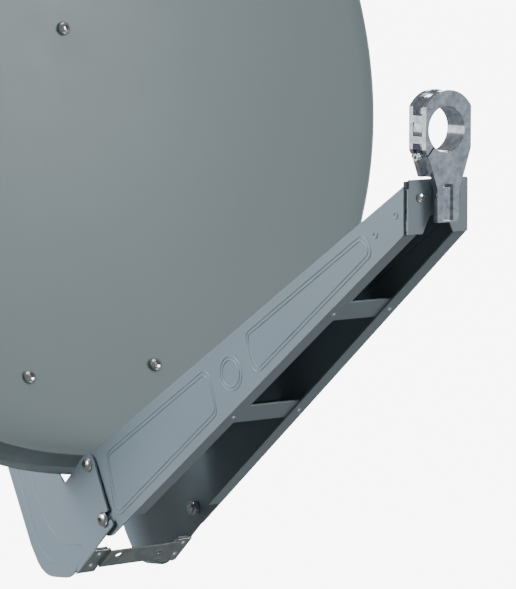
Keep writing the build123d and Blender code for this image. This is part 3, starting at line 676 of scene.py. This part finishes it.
for side, node in ((-1, "cheek_left"), (1, "cheek_right")):
    lines = [([(side * CHEEK_LINE_X, y, z) for y, z in smooth_line(points, 22)], False)
             for points in REAR_LINES]
    made = crown_lines(node + "_stiffening", lines, 1.1, node)
    print(made.name, len(made.data.polygons), "faces")

# %% [markdown]
# ## Screws and bolts
# One fastener is turned from a list of radii and heights, its socket made by letting the
# innermost rings take a hexagon's radius. Geometry Nodes then sets a copy at each place, so
# a change to the one shows on all of them.


# %% A turned fastener
def hexagon(apothem, turn):
    """Radius of a hexagon at an angle."""
    return apothem / cos((turn + radians(30)) % radians(60) - radians(30))


def crowned(r, height, socket, shank_r, shank, around=36):
    """Crowned head on Z = 0 with a hexagon socket, and a round shank below."""
    rings = [("hex", socket, height * 0.45), ("hex", socket, height * 0.97)]
    for k in range(1, 9):
        reach = socket * 1.25 + (r - socket * 1.25) * k / 8
        rings.append(("round", reach, height * (0.3 + 0.69 * sqrt(max(0, 1 - (reach / r) ** 2.2)))))
    rings += [("round", r, height * 0.16), ("round", r * 0.985, height * 0.04), ("round", r * 0.95, 0)]
    if shank:
        rings += [("round", shank_r, 0), ("round", shank_r, 1 - shank), ("round", shank_r * 0.8, -shank)]

    def point(row, turn):
        kind, radius, z = rings[row]
        reach = hexagon(radius, turn) if kind == "hex" else radius
        return Vector((mm(reach * cos(turn)), mm(reach * sin(turn)), mm(z)))

    end = -shank if shank else 0
    return ring_mesh("fastener", len(rings), point, (0, 0, mm(height * 0.4)), (0, 0, mm(end)), around)


print("one screw has", len(crowned(7.0, 5.2, 2.5, 3.0, 19.0).polygons), "faces")

# %% [markdown]
# The tree below takes a mesh of bare points. Each point carries the turn of its fastener as an
# attribute, so one tree serves screws that face in any direction.

# %% Geometry Nodes: a copy at each place
copy_tree, copy_in, copy_out = new_tree("a copy at each place", [
    ("Fastener", "NodeSocketObject"), ("Finish", "NodeSocketMaterial")])
source = add(copy_tree, "GeometryNodeObjectInfo", {"Object": copy_in.outputs["Fastener"]})
turned = add(copy_tree, "GeometryNodeInputNamedAttribute", {"Name": "turn"}, data_type="FLOAT_VECTOR")
copies = add(copy_tree, "GeometryNodeInstanceOnPoints", {
    "Points": copy_in.outputs["Geometry"], "Instance": source.outputs["Geometry"],
    "Rotation": turned.outputs["Attribute"]})
whole = add(copy_tree, "GeometryNodeRealizeInstances", {"Geometry": copies.outputs["Instances"]})
dressed = add(copy_tree, "GeometryNodeSetMaterial", {
    "Geometry": whole.outputs["Geometry"], "Material": copy_in.outputs["Finish"]})
copy_tree.links.new(dressed.outputs["Geometry"], copy_out.inputs["Geometry"])


def copies_at(name, shape, spots, node):
    """One piece with a copy of shape at each (place in mm, way it faces)."""
    pattern = new_piece(name + "_pattern", shape, FINISH[SLOT[node]])
    mesh = bpy.data.meshes.new(name + "_places")
    mesh.from_pydata([place(*spot) for spot, _ in spots], [], [])
    turn = mesh.attributes.new("turn", "FLOAT_VECTOR", "POINT")
    for i, (_, way) in enumerate(spots):
        turn.data[i].vector = Vector(way).to_track_quat("Z", "X").to_euler()
    holder = bpy.data.objects.new(name + "_places", mesh)
    bpy.context.scene.collection.objects.link(holder)
    result = run_tree(holder, copy_tree, {"Fastener": pattern, "Finish": FINISH[SLOT[node]]})
    bpy.data.objects.remove(holder)
    bpy.data.objects.remove(pattern)
    piece = new_piece(name, result, FINISH[SLOT[node]])
    finish_piece(piece, node)
    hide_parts(node)
    print(name, len(spots), "copies")
    return piece


print("copy tree has", len(copy_tree.nodes), "nodes")

# %% [markdown]
# The screws stand where the CAD model's bores are: on the reflector they follow its normal,
# and on the cheeks and the arm they face straight out to each side.

# %% Where the screws go
def sides(x, y, z):
    """The same place on both outsides, facing away from the middle."""
    return [((-x, y, z), (-1, 0, 0)), ((x, y, z), (1, 0, 0))]


M8, M6 = 4.0, 3.0                           # radii of the bolts
HEAD_R, HEAD_H, SOCKET = 7.0, 4.6, 2.5      # a bolt's head and the apothem of its socket
CHEEK_OUT = 58.0                            # outer face of a cheek
LOOSE = 0.3                                 # play left for a part that slides
WASHER_T = 1.6
LOCK = (-26.4, -49.6)
TILT = (205.0, 150.0)
SLOT_R, SLOT_MIDDLE = 65.0, radians(80)     # the curved slot that the elevation lock runs in
TILT_LOCK = (TILT[0] + SLOT_R * cos(SLOT_MIDDLE), TILT[1] + SLOT_R * sin(SLOT_MIDDLE))
screw_spots = []
for side, h in ((75.2, 75.7), (66.8, 430.2)):
    for x in (-side, side):
        screw_spots.append((tuple(dish_point(x, h) + dish_out(h) * 0.6), tuple(dish_out(h))))
dish_screw = crowned(HEAD_R, 5.2, SOCKET, M6, 19.0)
copies_at("reflector_screw_heads", dish_screw, screw_spots, "reflector_screws")
pivot_screw = crowned(HEAD_R, HEAD_H, SOCKET, M8, 13.8)
copies_at("fold_pivot_screws", pivot_screw, sides(CHEEK_OUT, 0, 0), "fold_pivot_bolts")
lock_screw = crowned(7.4, HEAD_H, SOCKET, M8, 15.6)
copies_at("lock_screws", lock_screw, sides(CHEEK_OUT + LOOSE, *LOCK), "lock_bolts")
for name, (y, z) in (("tilt_pivot", TILT), ("tilt_lock", TILT_LOCK)):
    tilt_screw = crowned(HEAD_R, HEAD_H, SOCKET, M8, 16.8)
    seat = CHEEK_OUT + LOOSE + WASHER_T
    copies_at(name + "_screws", tilt_screw, sides(seat, y, z), name + "_bolts")
tip_spots = [((x, -453.5, 288.6), (0, -1, 0)) for x in (-20, 20)]
copies_at("tip_screws", crowned(4.2, 2.4, 1.5, 2.2, 6.8), tip_spots, "tip_bracket_screws")

# %% [markdown]
# ## Nuts, washers and threads
# These small parts are already in their right places in the CAD model, so their places are
# read from it: every loose part of a node has a box, and its middle and thickness say where a
# finer copy goes. A nut is chamfered where its corners were turned off, and a washer has
# rolled edges. Geometry Nodes sets the copies, as it did with the screws.


# %% Loose parts of a CAD node
def grown(vert):
    """All vertices joined to one, through any number of edges."""
    island, waiting = set(), [vert]
    while waiting:
        here = waiting.pop()
        if here not in island:
            island.add(here)
            waiting += [edge.other_vert(here) for edge in here.link_edges]
    return island


def loose_boxes(node):
    """Lowest and highest corner of every loose part of a CAD node, in metres."""
    work = bmesh.new()
    work.from_mesh(frame["nodes"][node].data)
    bmesh.ops.remove_doubles(work, verts=work.verts, dist=1e-6)
    left = set(work.verts)
    boxes = []
    while left:
        island = grown(next(iter(left)))
        left -= island
        low, high = (Vector(pick(v.co[i] for v in island) for i in range(3)) for pick in (min, max))
        boxes.append((low, high))
    work.free()
    return sorted(boxes, key=lambda box: tuple(box[0]))


def from_pivot(point):
    """Metres in the scene to millimetres from the fold pivot."""
    return tuple(point[i] * 1000 - PIVOT[i] for i in range(3))


def seats(node, axis, outward):
    """Where each loose part stands: the middle of its low end along an axis, and its way."""
    spots = []
    for low, high in loose_boxes(node):
        middle = (low + high) / 2
        sign = outward(middle)
        seat = middle.copy()
        seat[axis] = low[axis] if sign > 0 else high[axis]
        way = Vector((0, 0, 0))
        way[axis] = sign
        spots.append((from_pivot(seat), tuple(way)))
    return spots


print("the tilt bolts carry", len(loose_boxes("tilt_nuts")), "nuts")

# %% [markdown]
# A nut and a washer are rings: a section that goes once round and closes on itself. A bolt
# is a turned shape with a pole at each end. Its thread is drawn as closed ribs at the real
# pitch, which look the same as a helix from a hand's breadth away.


# %% Rings with a hole, and a ribbed rod
M8_NUT = (13.0, 6.5)      # an 8 mm bolt's nut, across the flats and high
M8_PITCH = 1.25


def hollow_mesh(name, rings, around=36):
    """Closed ring: rings is a list of (kind, radius, height) that comes back to its start."""
    made = bmesh.new()
    loops = []
    for kind, radius, z in rings:
        turns = [2 * pi * k / around for k in range(around)]
        reach = [hexagon(radius, turn) if kind == "hex" else radius for turn in turns]
        loops.append([made.verts.new((mm(r * cos(turn)), mm(r * sin(turn)), mm(z)))
                      for r, turn in zip(reach, turns)])
    for low, high in zip(loops, loops[1:] + loops[:1]):
        for k in range(around):
            n = (k + 1) % around
            made.faces.new((low[k], low[n], high[n], high[k]))
    mesh = bpy.data.meshes.new(name)
    made.to_mesh(mesh)
    made.free()
    return mesh


def chamfered_nut(flats, bore, height, chamfer=0.7):
    """Hexagon nut standing on Z = 0, its bore slightly countersunk."""
    half = flats / 2
    return hollow_mesh("nut", [
        ("round", bore, chamfer), ("round", bore + 0.5, 0), ("round", half * 0.94, 0), ("hex", half, chamfer),
        ("hex", half, height - chamfer), ("round", half * 0.94, height), ("round", bore + 0.5, height),
        ("round", bore, height - chamfer)])


def rolled_washer(outer, bore, thick):
    """Washer standing on Z = 0, its edges rounded by tumbling."""
    soft = thick * 0.25
    return hollow_mesh("washer", [
        ("round", bore, soft), ("round", bore + soft, 0), ("round", outer - soft, 0), ("round", outer, soft),
        ("round", outer, thick - soft), ("round", outer - soft, thick), ("round", bore + soft, thick),
        ("round", bore, thick - soft)])


def carriage_bolt(head_r, head_h, shank_r, length, thread, pitch, around=32):
    """Low round head below Z = 0 and a shank above it, ribbed over its last part."""
    rings = [(head_r * sin(k * pi / 12), -head_h * cos(k * pi / 12)) for k in range(1, 7)]
    rings += [(head_r * 0.96, 0), (shank_r, 0.05), (shank_r, length - thread)]
    for k in range(int(thread / pitch) - 1):
        start = length - thread + k * pitch
        rings += [(shank_r - 0.55, start + pitch * 0.5), (shank_r, start + pitch)]
    rings += [(shank_r - 0.7, length)]

    def point(row, turn):
        r, z = rings[row]
        return Vector((mm(r * cos(turn)), mm(r * sin(turn)), mm(z)))

    return ring_mesh("carriage_bolt", len(rings), point, (0, 0, mm(-head_h)), (0, 0, mm(length)), around)


print("a nut has", len(chamfered_nut(M8_NUT[0], M8, M8_NUT[1]).polygons), "faces")


# %% [markdown]
# Each part now goes where the CAD model has it. Nuts lie inside the carrier and face the
# middle, the elevation washers lie outside and face out, and the clamp's parts point to the
# rear, where the mast is.


# %% Copies in the CAD model's places
def to_middle(spot):
    """-1 on the right and +1 on the left, so that a part faces the middle."""
    return -1 if spot.x > 0 else 1


def to_outside(spot):
    """The other way, for washers on the outer faces."""
    return -to_middle(spot)


def backwards(_):
    """+1, because the clamp's bolts run to the rear and its nuts face that way."""
    return 1


BOLT_HEAD = 4.4           # height of a clamp bolt's head, whose seat is its flat side
for node in ("fold_pivot_nuts", "lock_nuts", "tilt_nuts"):
    copies_at(node + "_chamfered", chamfered_nut(M8_NUT[0], M8, M8_NUT[1]), seats(node, 0, to_middle), node)
for name in ("upper", "lower"):
    node = "clamp_nuts_" + name
    nut = chamfered_nut(M8_NUT[0], M8 + LOOSE, M8_NUT[1])
    copies_at(node + "_chamfered", nut, seats(node, 1, backwards), node)
    node = "clamp_washers_" + name
    copies_at(node + "_rolled", rolled_washer(8.0, M8 + LOOSE, WASHER_T), seats(node, 1, backwards), node)
node = "tilt_washers"
copies_at(node + "_rolled", rolled_washer(10.0, M8, WASHER_T), seats(node, 0, to_outside), node)
bolt_seats = [((x, y + BOLT_HEAD, z), way) for (x, y, z), way in seats("clamp_bolts", 1, backwards)]
bolt = carriage_bolt(8.0, BOLT_HEAD, M8, 122.0, 70.0, M8_PITCH)
copies_at("clamp_bolts_ribbed", bolt, bolt_seats, "clamp_bolts")

# %% [markdown]
# ## Studio
# A pale sweep runs under and behind the dish. A dish hangs on a mast, high above any floor,
# so little light comes up from below and the inside of the arm is dark. The sweep is a sheet
# of white acrylic lit from behind, seen by the camera but left out of what lights the dish.

# %% Floor sweep
FLOOR_Z = -1.8                                  # metres, as all of the studio is
FLOOR_R, BEND_R, WALL_TOP = 34.0, 6.0, 40.0
SWEEP_STEPS = 96
profile = [(FLOOR_R, FLOOR_Z)]
for degrees_up in range(5, 91, 5):
    up = radians(degrees_up)
    profile.append((FLOOR_R + BEND_R * sin(up), FLOOR_Z + BEND_R * (1 - cos(up))))
profile.append((FLOOR_R + BEND_R, WALL_TOP))


def sweep_mesh():
    """A round floor that bends up into a wall, open at the top."""
    made = bmesh.new()
    turns = [2 * pi * k / SWEEP_STEPS for k in range(SWEEP_STEPS)]
    loops = [[made.verts.new((r * cos(turn), r * sin(turn), z)) for turn in turns] for r, z in profile]
    made.faces.new(loops[0])
    for low, high in zip(loops, loops[1:]):
        for k in range(SWEEP_STEPS):
            n = (k + 1) % SWEEP_STEPS
            made.faces.new((low[k], low[n], high[n], high[k]))
    bmesh.ops.recalc_face_normals(made, faces=made.faces)
    mesh = bpy.data.meshes.new("floor_sweep")
    made.to_mesh(mesh)
    made.free()
    mesh.polygons.foreach_set("use_smooth", [True] * len(mesh.polygons))
    return mesh


OPAL_SIZE = 0.8          # the opal sheet's faint clouds, in metres


def backlit_acrylic():
    """White opal sheet that glows evenly."""
    material, tree, shader, where = new_material("backlit white acrylic")
    cloud = add(tree, "ShaderNodeTexNoise", {"Vector": where, "Scale": 1 / OPAL_SIZE, "Detail": 2.0})
    colour = add(tree, "ShaderNodeMix", {
        0: cloud.outputs["Fac"], 6: linear("F4F4F3"), 7: linear("F1F1F0")}, data_type="RGBA")
    fill(tree, shader, {"Base Color": colour.outputs[2], "Roughness": 0.9,
                        "Emission Color": linear("FFFFFF"), "Emission Strength": 8.0})
    return material


floor = new_piece("floor_sweep", sweep_mesh(), backlit_acrylic())
floor.visible_diffuse = False
floor.visible_glossy = False
print("floor at", FLOOR_Z)

# %% [markdown]
# The key stands low and to the right, because a hollow bowl shades itself the other way round
# from a ball: light from the right brightens its left half. A second, cooler light from the
# left rear fills the arm's side, and two weak cards give the plated ring something to reflect.


# %% Lights
def soft_light(name, spot, aim, size, power, tint="FFFFFF"):
    """Square soft box at spot that looks at aim."""
    data = bpy.data.lights.new(name, "AREA")
    data.shape = "RECTANGLE"
    data.size, data.size_y = size
    data.energy = power
    data.color = linear(tint)[:3]
    thing = bpy.data.objects.new(name, data)
    thing.location = spot
    thing.rotation_euler = (Vector(aim) - Vector(spot)).to_track_quat("-Z", "Y").to_euler()
    bpy.context.scene.collection.objects.link(thing)
    return thing


TARGET = (0, -0.2, 0.15)
soft_light("key", (3.0, -4.4, 2.0), TARGET, (1.8, 1.8), 195, "F8FEFF")
soft_light("side", (-2.6, 0.7, 0.9), TARGET, (1.2, 1.4), 134, "E9F3FD")
soft_light("side card", (-2.0, 2.4, 0.3), TARGET, (1.4, 1.6), 9)
soft_light("front card", (2.2, -3.0, -0.2), TARGET, (3.0, 2.4), 6, "DCE9FA")
soft_light("top", (0.2, -0.2, 3.6), TARGET, (2.2, 2.2), 30)
soft_light("rim", (2.8, 2.2, 1.6), TARGET, (1.4, 2.2), 50)
soft_light("low fill", (0.4, -2.6, -2.6), TARGET, (2.0, 2.0), 24, "F4FAFF")
world = bpy.data.worlds.new("studio air")
world.use_nodes = True
world.node_tree.nodes["Background"].inputs["Color"].default_value = linear("F0F4F8")
world.node_tree.nodes["Background"].inputs["Strength"].default_value = 0.28
bpy.context.scene.world = world
print("seven soft boxes")

# %% [markdown]
# ## Camera
# A long lens from a few metres keeps the arm's taper honest. It stands a little above the
# dish and well round to its left, so the side panel of the arm and the inside of its channel
# both show.

# %% Camera
lens = bpy.data.cameras.new("camera")
lens.sensor_fit = "HORIZONTAL"
lens.sensor_width = 36.0
lens.lens = 242.7
lens.clip_end = 300.0
camera = bpy.data.objects.new("camera", lens)
camera.location = (-1.9166, -3.0452, 0.4030)
camera.rotation_euler = (radians(90 - 6.68), 0, radians(-36.93))
bpy.context.scene.collection.objects.link(camera)
bpy.context.scene.camera = camera
print("camera at", tuple(round(value, 3) for value in camera.location))
